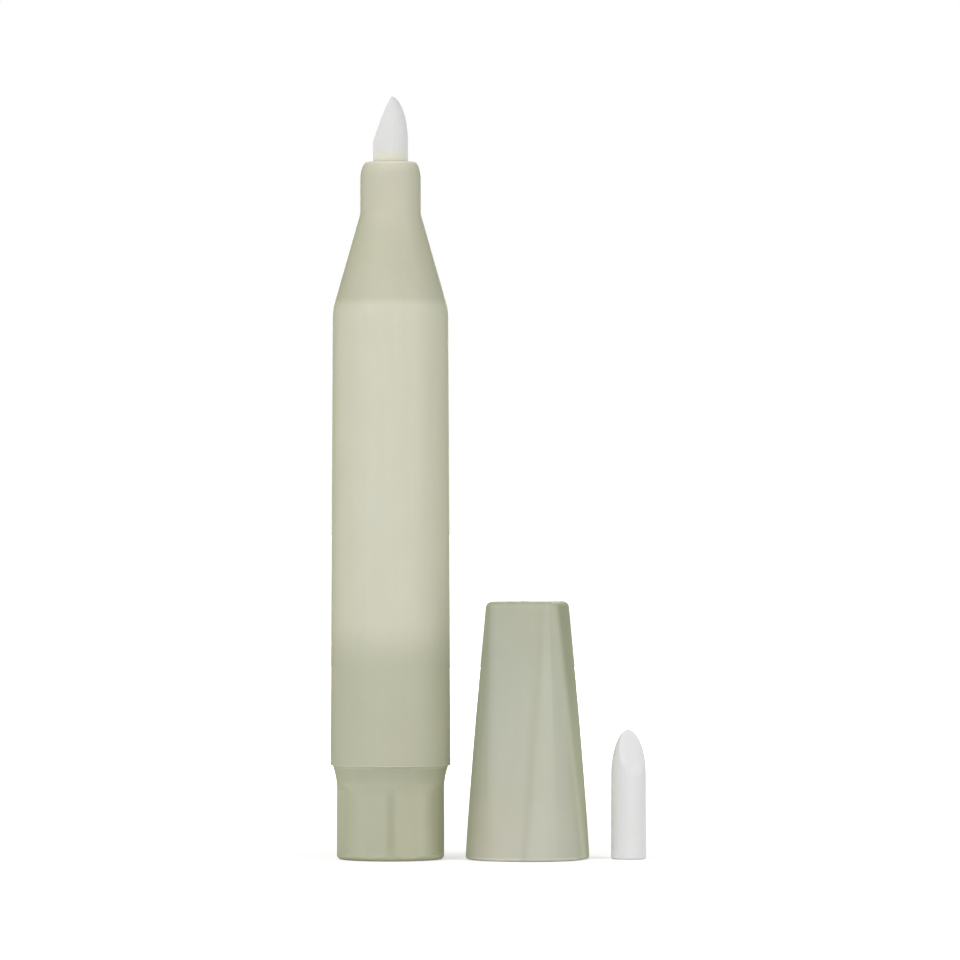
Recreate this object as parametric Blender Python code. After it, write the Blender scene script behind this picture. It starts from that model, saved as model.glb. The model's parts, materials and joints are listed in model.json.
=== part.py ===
"""A nail polish corrector pen that stands on its tail, its cap taken off and a spare nib beside it.

The pen's axis is the world Z axis and the floor it stands on is z = 0. Lengths are in metres.
A fibre reservoir in the barrel feeds remover through a thin wick to a bevelled felt nib, which is
pushed into ribs in the neck. The faceted tail cap stores spare nibs and carries the plug that seals the
barrel, so the reservoir can be refilled once it is pulled out.
"""

import math

import bmesh
import bpy
from mathutils import Matrix, Vector

# Fits
SEAT_GAP = 0.0003
SLIDE_GAP = 0.0002
OVERRUN = 0.002

# Felt nib
NIB_DIAMETER = 0.00505
NIB_LENGTH = 0.0187
NIB_DOME_HEIGHT = 0.0066
NIB_BEVEL_PAST_AXIS = 0.00015
NIB_REAR_CHAMFER = 0.0003
NIB_EXPOSED_LENGTH = 0.0095
STORED_NIBS = 2
STORE_PLACES = 3
STORED_NIB_SPACING = 0.0003
SPARE_NIB_TURN = math.radians(114.3)

# Barrel, with its cone and neck in one moulding
BARREL_LENGTH = 0.08715
BARREL_REAR_DIAMETER = 0.01735
BARREL_TAPER = 0.00065
BARREL_WALL = 0.00105
BARREL_REAR_CHAMFER_WIDTH = 0.0003
BARREL_REAR_CHAMFER_HEIGHT = 0.00043
SHOULDER_ROUNDING = 0.008
CONE_HEIGHT = 0.0139
CONE_WALL = 0.00095
NECK_WALL = 0.001075
NECK_LENGTH = 0.0075
NECK_ROOT_RADIUS = 0.003
NECK_TIP_ROUNDING_WIDTH = 0.001
NECK_TIP_ROUNDING_HEIGHT = 0.0027
NECK_BORE_SPACE = 0.000775
NECK_LIP_HEIGHT = 0.0008

# Ribs that grip the nib in the neck
NECK_RIBS = 6
NECK_RIB_WIDTH = 0.0006
NECK_RIB_RECESS = 0.00005
NECK_RIB_ROOT = 0.0004
NECK_RIB_FOOT_HEIGHT = 0.0012

# Wick and reservoir
WICK_DIAMETER = 0.003
WICK_SEAT_DEPTH = 0.004
WICK_CHAMFER = 0.0002
WRAP_WALL = 0.00025
CORE_CHAMFER = 0.0004

# Sealing plug on the tail cap's spigot
PLUG_HEIGHT = 0.00505
PLUG_WALL = 0.001
PLUG_TOP_WALL = 0.0016
PLUG_GROOVE_DEPTH = 0.0004
PLUG_GROOVE_HEIGHT = 0.0018
PLUG_SKIRT_LENGTH = 0.0015

# Tail cap
TAIL_HEIGHT = 0.01325
TAIL_FLAT_DEPTH = 0.00037
TAIL_FLATS = 8
TAIL_TURN = math.radians(0.7)
TAIL_PLAIN_HEIGHT = 0.00245
TAIL_FLAT_RUNOUT_RADIUS = 0.003
TAIL_BASE_ROUNDING = 0.0006
TAIL_FLARE_WIDTH = 0.000625
TAIL_FLARE_HEIGHT = 0.0033
TAIL_FLOOR = 0.0014
SPIGOT_LENGTH = 0.0124
SPIGOT_WALL = 0.001
SPIGOT_CHAMFER = 0.0003
SPIGOT_BEAD_HEIGHT = 0.0012
SPIGOT_BEAD_PLACE = 0.0025
SPIGOT_BEAD_DEPTH = 0.0001

# Cap shell
CAP_HEIGHT = 0.0372
CAP_OVERHANG = 0.00031
CAP_MOUTH_WALL = 0.001035
CAP_FLATS = 4
CAP_TURN = math.radians(-17)
CAP_RIM_FLAT_DEPTH = 0.000265
CAP_TOP_CORNER_DEPTH = 0.001245
CAP_TAPER_POWER = 1.12
CAP_WALL = 0.0009
CAP_TOP_WALL = 0.0012
CAP_TOP_ROUNDING = 0.0008
CAP_RIM_ROUNDING = 0.00045

# Seal liner in the cap
LINER_WALL = 0.0008
LINER_NIB_CLEARANCE = 0.0007
LINER_SEAL_HEADROOM = 0.0005
LINER_STEP_HEIGHT = 0.001
LINER_FOOT_DROP = 0.0004
LINER_LEAD_IN = 0.0003
LINER_TOP_SPACE = 0.00025

# Free space between the pieces that stand side by side
PEN_TO_CAP_SPACE = 0.00214
CAP_TO_NIB_SPACE = 0.00309

# Fineness
BODY_STEPS = 56
INNER_STEPS = 40
NIB_STEPS = 24
ARC_STEPS = 5
DOME_STEPS = 8
FLAT_STEPS = 4
TAIL_ROUND_STEPS = 3
CAP_ROUND_STEPS = 8
CAP_SIDE_STEPS = 12
LEAST_FLAT_ANGLE = math.radians(0.5)
SHARP_ANGLE = math.radians(28)
MERGE_DISTANCE = 0.000001

# Colours as linear RGB
OLIVE_BARREL = (0.62, 0.61, 0.48)
OLIVE_TAIL = (0.46, 0.46, 0.35)
OLIVE_CAP = (0.50, 0.51, 0.41)
FELT_WHITE = (0.76, 0.75, 0.72)
FIBRE_WHITE = (0.80, 0.79, 0.74)
FILM_WHITE = (0.85, 0.85, 0.83)
PLUG_GREY = (0.55, 0.55, 0.50)
LINER_NATURAL = (0.72, 0.72, 0.66)

# Roughness of each finish
PLASTIC_ROUGHNESS = 0.35
LINER_ROUGHNESS = 0.45
FILM_ROUGHNESS = 0.3
FIBRE_ROUGHNESS = 0.9

# Radii that follow from the barrel's rear end and from the nib
BARREL_RADIUS = BARREL_REAR_DIAMETER / 2
SHOULDER_RADIUS = BARREL_RADIUS - BARREL_TAPER / 2
BORE_RADIUS = SHOULDER_RADIUS - BARREL_WALL
NIB_HOLE_RADIUS = NIB_DIAMETER / 2 + SLIDE_GAP
NECK_BORE_RADIUS = NIB_DIAMETER / 2 + NECK_BORE_SPACE
NECK_RADIUS = NECK_BORE_RADIUS + NECK_WALL

# Places along the pen's axis
BARREL_REAR = TAIL_HEIGHT + SEAT_GAP
BARREL_FRONT = BARREL_REAR + BARREL_LENGTH
NECK_ROOT = BARREL_FRONT - NECK_LENGTH
SHOULDER = NECK_ROOT - CONE_HEIGHT
CONE_SLOPE = (SHOULDER_RADIUS - NECK_RADIUS) / CONE_HEIGHT
NIB_REAR = BARREL_FRONT + NIB_EXPOSED_LENGTH - NIB_LENGTH
STORE_FLOOR = TAIL_FLOOR + SEAT_GAP
STORED_NIB_TOP = STORE_FLOOR + NIB_LENGTH + SEAT_GAP
SPIGOT_TOP = max(TAIL_HEIGHT + SPIGOT_LENGTH, STORED_NIB_TOP + PLUG_SKIRT_LENGTH)
PLUG_SEAT = SPIGOT_TOP + SEAT_GAP
RESERVOIR_REAR = PLUG_SEAT + PLUG_HEIGHT + SEAT_GAP

# Radii that follow from what fits into the barrel's bore
WRAP_RADIUS = BORE_RADIUS - SLIDE_GAP
CORE_RADIUS = WRAP_RADIUS - WRAP_WALL - SLIDE_GAP
SPIGOT_RADIUS = BORE_RADIUS - SLIDE_GAP
STORE_RADIUS = SPIGOT_RADIUS - SPIGOT_WALL

# Inside of the cone, and the reservoir's front, which seats in it
CONE_WALL_ACROSS = CONE_WALL * math.hypot(1, CONE_SLOPE)
INNER_CONE_START = SHOULDER + (SHOULDER_RADIUS - CONE_WALL_ACROSS - BORE_RADIUS) / CONE_SLOPE
INNER_CONE_END = INNER_CONE_START + (BORE_RADIUS - NECK_BORE_RADIUS) / CONE_SLOPE
CORE_FRONT = INNER_CONE_START + (BORE_RADIUS - CORE_RADIUS - SEAT_GAP) / CONE_SLOPE

# Outside of the tail cap, which starts within the barrel's rear chamfer
TAIL_FLARE_RADIUS = BARREL_RADIUS - BARREL_REAR_CHAMFER_WIDTH
TAIL_BODY_RADIUS = TAIL_FLARE_RADIUS - TAIL_FLARE_WIDTH
TAIL_FLAT_DISTANCE = TAIL_BODY_RADIUS - TAIL_FLAT_DEPTH
TAIL_FLAT_TOP = TAIL_HEIGHT - TAIL_PLAIN_HEIGHT

# Liner, whose foot stands over the cone's end and whose bores follow the neck and the nib
LINER_FOOT = CONE_HEIGHT - LINER_FOOT_DROP
LINER_STEP = LINER_FOOT + NECK_LENGTH + LINER_SEAL_HEADROOM
SEAL_BORE_RADIUS = NECK_RADIUS + SLIDE_GAP
NIB_BORE_RADIUS = NIB_DIAMETER / 2 + LINER_NIB_CLEARANCE

# Outside of the cap, whose flats stand clear of the liner's top and of its step
CAP_RIM_RADIUS = BARREL_RADIUS + CAP_OVERHANG
CAP_TOP_FLAT_DISTANCE = NIB_BORE_RADIUS + LINER_WALL + LINER_TOP_SPACE + CAP_WALL
CAP_TOP_RADIUS = CAP_TOP_FLAT_DISTANCE + CAP_TOP_CORNER_DEPTH
STEP_FLAT_DISTANCE = SEAL_BORE_RADIUS + LINER_WALL + SEAT_GAP + CAP_WALL
STEP_TAPER_SHARE = (LINER_STEP / CAP_HEIGHT) ** CAP_TAPER_POWER
STEP_FLAT_RISE = (STEP_FLAT_DISTANCE - CAP_TOP_FLAT_DISTANCE) / (1 - STEP_TAPER_SHARE)
CAP_RIM_FLAT_DISTANCE = max(CAP_RIM_RADIUS - CAP_RIM_FLAT_DEPTH, CAP_TOP_FLAT_DISTANCE + STEP_FLAT_RISE)

# Places of the pieces that stand beside the pen
CAP_PLACE = BARREL_RADIUS + PEN_TO_CAP_SPACE + CAP_RIM_RADIUS
SPARE_NIB_PLACE = CAP_PLACE + CAP_RIM_RADIUS + CAP_TO_NIB_SPACE + NIB_DIAMETER / 2


def clear_scene():
    for obj in list(bpy.data.objects):
        bpy.data.objects.remove(obj)


def plastic(name, colour, roughness):
    """A plain Principled material."""
    material = bpy.data.materials.new(name)
    material.use_nodes = True
    shader = material.node_tree.nodes["Principled BSDF"]
    shader.inputs["Base Color"].default_value = (*colour, 1)
    shader.inputs["Roughness"].default_value = roughness
    shader.inputs["Metallic"].default_value = 0
    return material


def add_object(name, mesh):
    obj = bpy.data.objects.new(name, mesh)
    bpy.context.scene.collection.objects.link(obj)
    return obj


def mesh_from(name, bm):
    mesh = bpy.data.meshes.new(name)
    bm.to_mesh(mesh)
    bm.free()
    return mesh


def arc(centre, across, along, start, end, steps=ARC_STEPS):
    """Points of an ellipse's arc in the XZ plane, its angles in degrees from +X towards +Z."""
    angles = [math.radians(start + (end - start) * i / steps) for i in range(steps + 1)]
    return [(centre[0] + across * math.cos(a), centre[1] + along * math.sin(a)) for a in angles]


def rounded(before, corner, after, radius):
    """The arc that rounds a corner between two straight stretches, as points from one to the other."""
    corner = Vector(corner)
    back = (Vector(before) - corner).normalized()
    ahead = (Vector(after) - corner).normalized()
    half = back.angle(ahead) / 2
    centre = corner + (back + ahead).normalized() * (radius / math.sin(half))
    first = corner + back * (radius / math.tan(half)) - centre
    last = corner + ahead * (radius / math.tan(half)) - centre
    start = math.degrees(math.atan2(first.y, first.x))
    sweep = math.degrees(math.atan2(first.cross(last), first.dot(last)))
    return arc(centre, radius, radius, start, start + sweep)


def turned(name, profile, steps, closed=False):
    """A turned piece. The profile runs down its outer side, and up its bore where it is closed."""
    bm = bmesh.new()
    points = [bm.verts.new((radius, 0, height)) for radius, height in profile]
    for a, b in zip(points, points[1:] + points[:1] if closed else points[1:]):
        bm.edges.new((a, b))
    obj = add_object(name, mesh_from(name, bm))
    screw = obj.modifiers.new("Turn", "SCREW")
    screw.angle = 2 * math.pi
    screw.steps = screw.render_steps = steps
    screw.use_merge_vertices = True
    screw.merge_threshold = MERGE_DISTANCE
    return obj


def prism(name, outline, width, turns=(0,)):
    """An outline in the XZ plane drawn out evenly to both sides of it, once for each turn about Z."""
    bm = bmesh.new()
    for turn in turns:
        ends = []
        for side in (-width / 2, width / 2):
            ends.append([bm.verts.new((x, side, z)) for x, z in outline])
        bm.faces.new(ends[0])
        bm.faces.new(reversed(ends[1]))
        for i in range(len(outline)):
            bm.faces.new((ends[0][i - 1], ends[1][i - 1], ends[1][i], ends[0][i]))
        made = ends[0] + ends[1]
        bmesh.ops.rotate(bm, verts=made, matrix=Matrix.Rotation(turn, 3, "Z"))
    bmesh.ops.recalc_face_normals(bm, faces=bm.faces)
    return add_object(name, mesh_from(name, bm))


def flatted_ring(radius, flat_distance, height, flats, turn, round_steps):
    """A circle with flats, at one height. The flats stop exactly where they meet the circle."""
    half_flat = math.acos(min(1, flat_distance / radius))
    half_flat = max(half_flat, LEAST_FLAT_ANGLE)
    pitch = 2 * math.pi / flats
    offsets = [half_flat * (2 * i / FLAT_STEPS - 1) for i in range(FLAT_STEPS)]
    offsets += [half_flat + (pitch - 2 * half_flat) * i / round_steps for i in range(round_steps)]
    ring = []
    for flat in range(flats):
        for offset in offsets:
            on_flat = offset < half_flat
            reach = min(radius, flat_distance / math.cos(offset)) if on_flat else radius
            angle = turn + flat * pitch + offset
            ring.append((reach * math.sin(angle), -reach * math.cos(angle), height))
    return ring


def loft(name, rings):
    """A skin over rings of points, from a flat closing face on the first to one on the last."""
    bm = bmesh.new()
    skin = [[bm.verts.new(point) for point in ring] for ring in rings]
    bm.faces.new(reversed(skin[0]))
    for lower, upper in zip(skin, skin[1:]):
        for i in range(len(lower)):
            bm.faces.new((lower[i - 1], lower[i], upper[i], upper[i - 1]))
    bm.faces.new(skin[-1])
    bmesh.ops.remove_doubles(bm, verts=bm.verts, dist=MERGE_DISTANCE)
    return add_object(name, mesh_from(name, bm))


def combine(obj, tool, operation):
    """Joins or cuts with another shape, and removes that shape."""
    boolean = obj.modifiers.new(operation.title(), "BOOLEAN")
    boolean.operation = operation
    boolean.object = tool
    settle(obj)
    bpy.data.objects.remove(tool)


def settle(obj):
    """Applies the modifiers and shades the piece smooth, except over its edges."""
    graph = bpy.context.evaluated_depsgraph_get()
    mesh = bpy.data.meshes.new_from_object(obj.evaluated_get(graph))
    obj.modifiers.clear()
    obj.data = mesh
    mesh.shade_smooth()
    mesh.set_sharp_from_angle(angle=SHARP_ANGLE)


def finish(obj, material):
    settle(obj)
    obj.data.materials.append(material)
    return obj


def inner_cone_radius(height):
    """Radius of the barrel's inside at a height in its cone."""
    return BORE_RADIUS - (height - INNER_CONE_START) * CONE_SLOPE


def barrel_outside():
    """From the neck's tip down to the rear end."""
    rounding_centre = (NECK_RADIUS - NECK_TIP_ROUNDING_WIDTH, BARREL_FRONT - NECK_TIP_ROUNDING_HEIGHT)
    neck_root = (NECK_RADIUS, NECK_ROOT)
    shoulder = (SHOULDER_RADIUS, SHOULDER)
    side_end = (BARREL_RADIUS, BARREL_REAR + BARREL_REAR_CHAMFER_HEIGHT)
    profile = arc(rounding_centre, NECK_TIP_ROUNDING_WIDTH, NECK_TIP_ROUNDING_HEIGHT, 90, 0)
    profile += rounded(profile[-1], neck_root, shoulder, NECK_ROOT_RADIUS)
    profile += rounded(neck_root, shoulder, side_end, SHOULDER_ROUNDING)
    profile += [side_end, (BARREL_RADIUS - BARREL_REAR_CHAMFER_WIDTH, BARREL_REAR)]
    return profile


def barrel_inside():
    """From the rear end up to the lip round the nib."""
    lip = BARREL_FRONT - NECK_LIP_HEIGHT
    return [
        (BORE_RADIUS, BARREL_REAR),
        (BORE_RADIUS, INNER_CONE_START),
        (NECK_BORE_RADIUS, INNER_CONE_END),
        (NECK_BORE_RADIUS, lip - (NECK_BORE_RADIUS - NIB_HOLE_RADIUS)),
        (NIB_HOLE_RADIUS, lip),
        (NIB_HOLE_RADIUS, BARREL_FRONT),
    ]


def neck_rib_outline():
    """A rib along the neck's bore, with a foot that the nib's rear end stands on."""
    grip = NIB_HOLE_RADIUS + NECK_RIB_RECESS
    foot = WICK_DIAMETER / 2 + SEAT_GAP
    foot_top = NIB_REAR - SEAT_GAP
    foot_rear = foot_top - NECK_RIB_FOOT_HEIGHT
    rib_front = BARREL_FRONT - NECK_LIP_HEIGHT / 2
    root = NECK_BORE_RADIUS + NECK_RIB_ROOT
    return [
        (grip, rib_front),
        (grip, foot_top),
        (foot, foot_top),
        (foot, foot_rear),
        (inner_cone_radius(foot_rear) + NECK_RIB_ROOT, foot_rear),
        (root, INNER_CONE_END),
        (root, rib_front),
    ]


def build_barrel(material):
    barrel = turned("barrel", barrel_outside() + barrel_inside(), BODY_STEPS, closed=True)
    settle(barrel)
    turns = [2 * math.pi * i / NECK_RIBS for i in range(NECK_RIBS)]
    ribs = prism("neck_ribs", neck_rib_outline(), NECK_RIB_WIDTH, turns)
    combine(barrel, ribs, "UNION")
    finish(barrel, material)


def nib_bevel_outline(radius, dome_base):
    """What the bevel takes off: all that lies beyond a slanted line from the dome's base to its tip."""
    start = Vector((-radius, dome_base))
    end = Vector((NIB_BEVEL_PAST_AXIS, NIB_LENGTH))
    run = (end - start).normalized() * OVERRUN
    low = start - run
    high = end + run
    return [tuple(low), tuple(high), (low.x - OVERRUN, high.y)]


def nib_mesh(material):
    """A felt nib on its rear end, its bevel facing -X."""
    radius = NIB_DIAMETER / 2
    dome_base = NIB_LENGTH - NIB_DOME_HEIGHT
    profile = [(0, NIB_LENGTH)]
    profile += arc((0, dome_base), radius, NIB_DOME_HEIGHT, 90, 0, DOME_STEPS)[1:]
    profile += [(radius, NIB_REAR_CHAMFER), (radius - NIB_REAR_CHAMFER, 0), (0, 0)]
    pattern = turned("nib_pattern", profile, NIB_STEPS)
    settle(pattern)
    wedge = prism("nib_bevel", nib_bevel_outline(radius, dome_base), NIB_DIAMETER + OVERRUN)
    combine(pattern, wedge, "DIFFERENCE")
    finish(pattern, material)
    mesh = pattern.data
    bpy.data.objects.remove(pattern)
    return mesh


def store_circle(places):
    """Radius of the circle that the stored nibs' middles lie on, for so many places round the store."""
    if places == 1:
        return 0
    return (NIB_DIAMETER + STORED_NIB_SPACING) / 2 / math.sin(math.pi / places)


def store_places():
    """Places that the store has room for, up to STORE_PLACES."""
    room = STORE_RADIUS - SLIDE_GAP - NIB_DIAMETER / 2
    fitting = [n for n in range(1, STORE_PLACES + 1) if store_circle(n) <= room]
    return max(fitting)


def build_nibs(material):
    """The nib in the neck, those stored in the tail cap and the one that stands beside the cap."""
    mesh = nib_mesh(material)
    fitted = add_object("nib", mesh)
    fitted.location.z = NIB_REAR
    spare = add_object("spare_nib", mesh)
    spare.location.x = SPARE_NIB_PLACE
    spare.rotation_euler.z = SPARE_NIB_TURN
    places = store_places()
    reach = store_circle(places)
    for i in range(STORED_NIBS)[:places]:
        stored = add_object(f"stored_nib_{i + 1}", mesh)
        angle = 2 * math.pi / places * (i + 1)
        stored.location = (reach * math.cos(angle), reach * math.sin(angle), STORE_FLOOR)
        stored.rotation_euler.z = angle


def build_wick(material):
    """A fibre rod from a socket in the reservoir to the rear end of the nib."""
    radius = WICK_DIAMETER / 2
    rear = CORE_FRONT - WICK_SEAT_DEPTH + SEAT_GAP
    front = NIB_REAR - SEAT_GAP
    profile = [
        (0, front),
        (radius - WICK_CHAMFER, front),
        (radius, front - WICK_CHAMFER),
        (radius, rear + WICK_CHAMFER),
        (radius - WICK_CHAMFER, rear),
        (0, rear),
    ]
    finish(turned("transfer_wick", profile, NIB_STEPS), material)


def build_reservoir_core(material):
    """The fibre bundle, with a socket for the wick in its front end."""
    socket = WICK_DIAMETER / 2 + SLIDE_GAP
    profile = [
        (0, CORE_FRONT - WICK_SEAT_DEPTH),
        (socket, CORE_FRONT - WICK_SEAT_DEPTH),
        (socket, CORE_FRONT),
        (CORE_RADIUS - CORE_CHAMFER, CORE_FRONT),
        (CORE_RADIUS, CORE_FRONT - CORE_CHAMFER),
        (CORE_RADIUS, RESERVOIR_REAR + CORE_CHAMFER),
        (CORE_RADIUS - CORE_CHAMFER, RESERVOIR_REAR),
        (0, RESERVOIR_REAR),
    ]
    finish(turned("reservoir_core", profile, INNER_STEPS), material)


def build_reservoir_wrap(material):
    """The film sleeve round the fibre bundle."""
    bore = WRAP_RADIUS - WRAP_WALL
    profile = [
        (WRAP_RADIUS, INNER_CONE_START),
        (WRAP_RADIUS, RESERVOIR_REAR),
        (bore, RESERVOIR_REAR),
        (bore, INNER_CONE_START),
    ]
    finish(turned("reservoir_wrap", profile, INNER_STEPS, closed=True), material)


def build_sealing_plug(material):
    """A cup-shaped plug on the spigot, which seals the barrel's bore with two lands and shuts the store."""
    radius = BORE_RADIUS - SLIDE_GAP
    front = PLUG_SEAT + PLUG_HEIGHT
    middle = PLUG_SEAT + PLUG_HEIGHT / 2
    groove = radius - PLUG_GROOVE_DEPTH
    half_groove = PLUG_GROOVE_HEIGHT / 2
    skirt = STORE_RADIUS - SLIDE_GAP
    skirt_end = SPIGOT_TOP - PLUG_SKIRT_LENGTH
    cup = skirt - PLUG_WALL
    profile = [
        (0, front),
        (radius, front),
        (radius, middle + half_groove),
        (groove, middle + half_groove - PLUG_GROOVE_DEPTH),
        (groove, middle - half_groove + PLUG_GROOVE_DEPTH),
        (radius, middle - half_groove),
        (radius, PLUG_SEAT),
        (skirt, PLUG_SEAT),
        (skirt, skirt_end),
        (cup, skirt_end),
        (cup, front - PLUG_TOP_WALL),
        (0, front - PLUG_TOP_WALL),
    ]
    finish(turned("sealing_plug", profile, INNER_STEPS), material)


def tail_flat_distance(height, low, high):
    """Distance of a flat from the axis, which runs out to the round body at both of its ends."""
    past = max(low - height, height - high, 0)
    past = min(past, TAIL_FLAT_RUNOUT_RADIUS)
    runout = TAIL_FLAT_RUNOUT_RADIUS - math.sqrt(TAIL_FLAT_RUNOUT_RADIUS**2 - past**2)
    return TAIL_FLAT_DISTANCE + runout


def tail_sections():
    """(height, radius, distance of the flats) from the base up to the flange."""
    runout_height = math.sqrt(2 * TAIL_FLAT_RUNOUT_RADIUS * TAIL_FLAT_DEPTH - TAIL_FLAT_DEPTH**2)
    low = TAIL_BASE_ROUNDING + runout_height
    high = TAIL_FLAT_TOP - runout_height
    flare_radius = (TAIL_FLARE_HEIGHT**2 + TAIL_FLARE_WIDTH**2) / 2 / TAIL_FLARE_WIDTH
    flare_base = TAIL_HEIGHT - TAIL_FLARE_HEIGHT
    base_centre = (TAIL_BODY_RADIUS - TAIL_BASE_ROUNDING, TAIL_BASE_ROUNDING)
    base = arc(base_centre, TAIL_BASE_ROUNDING, TAIL_BASE_ROUNDING, -90, 0)
    heights = [low - runout_height * (1 - i / ARC_STEPS) for i in range(1, ARC_STEPS + 1)]
    heights += [high + runout_height * i / ARC_STEPS for i in range(ARC_STEPS)]
    flare_start = heights[-1] + runout_height / ARC_STEPS
    heights += [flare_start + (TAIL_HEIGHT - flare_start) * i / ARC_STEPS for i in range(ARC_STEPS + 1)]
    sections = []
    for radius, height in base:
        sections.append((height, radius, radius))
    for height in heights:
        rise = max(0, height - flare_base)
        radius = TAIL_BODY_RADIUS + flare_radius - math.sqrt(flare_radius**2 - rise**2)
        sections.append((height, radius, tail_flat_distance(height, low, high)))
    return sections


def spigot_sections():
    """(height, radius) from the flange, up the spigot over its sealing bead, and down into the store."""
    bead = TAIL_HEIGHT + SPIGOT_BEAD_PLACE
    half_bead = SPIGOT_BEAD_HEIGHT / 2
    bead_radius = SPIGOT_RADIUS + SPIGOT_BEAD_DEPTH
    return [
        (TAIL_HEIGHT, SPIGOT_RADIUS),
        (bead - half_bead, SPIGOT_RADIUS),
        (bead - half_bead / 2, bead_radius),
        (bead + half_bead / 2, bead_radius),
        (bead + half_bead, SPIGOT_RADIUS),
        (SPIGOT_TOP - SPIGOT_CHAMFER, SPIGOT_RADIUS),
        (SPIGOT_TOP, SPIGOT_RADIUS - SPIGOT_CHAMFER),
        (SPIGOT_TOP, STORE_RADIUS),
        (TAIL_FLOOR, STORE_RADIUS),
    ]


def tail_ring(height, radius, flat_distance):
    return flatted_ring(radius, flat_distance, height, TAIL_FLATS, tail_flat_turn(), TAIL_ROUND_STEPS)


def tail_flat_turn():
    """Angle of the first flat's middle, half a pitch from the ridge that faces forward."""
    return TAIL_TURN + math.pi / TAIL_FLATS


def build_tail_cap(material):
    """A faceted plug that is a cup inside, which stores the spare nibs."""
    rings = [tail_ring(*section) for section in tail_sections()]
    rings += [tail_ring(height, radius, radius) for height, radius in spigot_sections()]
    finish(loft("tail_cap", rings), material)


def cap_side(height):
    """(radius, distance of the flats) of the cap's outside at a height: its side bulges very slightly."""
    share = (height / CAP_HEIGHT) ** CAP_TAPER_POWER
    radius = CAP_RIM_RADIUS + (CAP_TOP_RADIUS - CAP_RIM_RADIUS) * share
    flat = CAP_RIM_FLAT_DISTANCE + (CAP_TOP_FLAT_DISTANCE - CAP_RIM_FLAT_DISTANCE) * share
    return radius, flat


def cap_inside(height):
    """(radius, distance of the flats) of the cap's inside at a height, one wall in from its flats."""
    radius, flat = cap_side(height)
    return radius - CAP_MOUTH_WALL, flat - CAP_WALL


def cap_ring(height, radius, flat_distance):
    return flatted_ring(radius, flat_distance, height, CAP_FLATS, CAP_TURN, CAP_ROUND_STEPS)


def cap_outer_rings():
    """From the rim up to the top, both edges rounded all the way round."""
    rings = []
    for inset, height in arc((0, CAP_RIM_ROUNDING), CAP_RIM_ROUNDING, CAP_RIM_ROUNDING, -90, 0):
        radius, flat = cap_side(height)
        shrink = CAP_RIM_ROUNDING - inset
        rings.append(cap_ring(height, radius - shrink, flat - shrink))
    side_top = CAP_HEIGHT - CAP_TOP_ROUNDING
    for i in range(1, CAP_SIDE_STEPS):
        height = CAP_RIM_ROUNDING + (side_top - CAP_RIM_ROUNDING) * i / CAP_SIDE_STEPS
        rings.append(cap_ring(height, *cap_side(height)))
    for inset, height in arc((0, side_top), CAP_TOP_ROUNDING, CAP_TOP_ROUNDING, 0, 90):
        radius, flat = cap_side(height)
        shrink = CAP_TOP_ROUNDING - inset
        rings.append(cap_ring(height, radius - shrink, flat - shrink))
    return rings


def cap_inner_rings():
    """From the ceiling down to the mouth."""
    ceiling = CAP_HEIGHT - CAP_TOP_WALL
    heights = [ceiling * (1 - i / CAP_SIDE_STEPS) for i in range(CAP_SIDE_STEPS + 1)]
    return [cap_ring(height, *cap_inside(height)) for height in heights]


def build_cap_shell(stand, material):
    """A thin cone with four flats that deepen towards its top, open at the mouth."""
    shell = loft("cap_shell", cap_inner_rings() + cap_outer_rings())
    shell.parent = stand
    finish(shell, material)


def build_cap_liner(stand, material):
    """A stepped thimble wedged between the cap's flats, which seals round the neck and houses the nib."""
    top = CAP_HEIGHT - CAP_TOP_WALL - SEAT_GAP
    seal_end = LINER_STEP - LINER_WALL
    profile = [
        (0, top),
        (NIB_BORE_RADIUS + LINER_WALL, top),
        (NIB_BORE_RADIUS + LINER_WALL, LINER_STEP + LINER_STEP_HEIGHT),
        (SEAL_BORE_RADIUS + LINER_WALL, LINER_STEP),
        (SEAL_BORE_RADIUS + LINER_WALL, LINER_FOOT),
        (SEAL_BORE_RADIUS + LINER_LEAD_IN, LINER_FOOT),
        (SEAL_BORE_RADIUS, LINER_FOOT + LINER_LEAD_IN),
        (SEAL_BORE_RADIUS, seal_end),
        (NIB_BORE_RADIUS, seal_end + LINER_STEP_HEIGHT),
        (NIB_BORE_RADIUS, top - LINER_WALL),
        (0, top - LINER_WALL),
    ]
    liner = turned("cap_liner", profile, INNER_STEPS)
    liner.parent = stand
    finish(liner, material)


def main():
    clear_scene()
    felt = plastic("felt", FELT_WHITE, FIBRE_ROUGHNESS)
    fibre = plastic("fibre", FIBRE_WHITE, FIBRE_ROUGHNESS)
    build_barrel(plastic("barrel_plastic", OLIVE_BARREL, PLASTIC_ROUGHNESS))
    build_nibs(felt)
    build_wick(fibre)
    build_reservoir_core(fibre)
    build_reservoir_wrap(plastic("film", FILM_WHITE, FILM_ROUGHNESS))
    build_tail_cap(plastic("tail_plastic", OLIVE_TAIL, PLASTIC_ROUGHNESS))
    build_sealing_plug(plastic("plug_plastic", PLUG_GREY, LINER_ROUGHNESS))
    stand = add_object("cap_place", None)
    stand.location.x = CAP_PLACE
    build_cap_shell(stand, plastic("cap_plastic", OLIVE_CAP, PLASTIC_ROUGHNESS))
    build_cap_liner(stand, plastic("liner_plastic", LINER_NATURAL, LINER_ROUGHNESS))


main()
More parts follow.
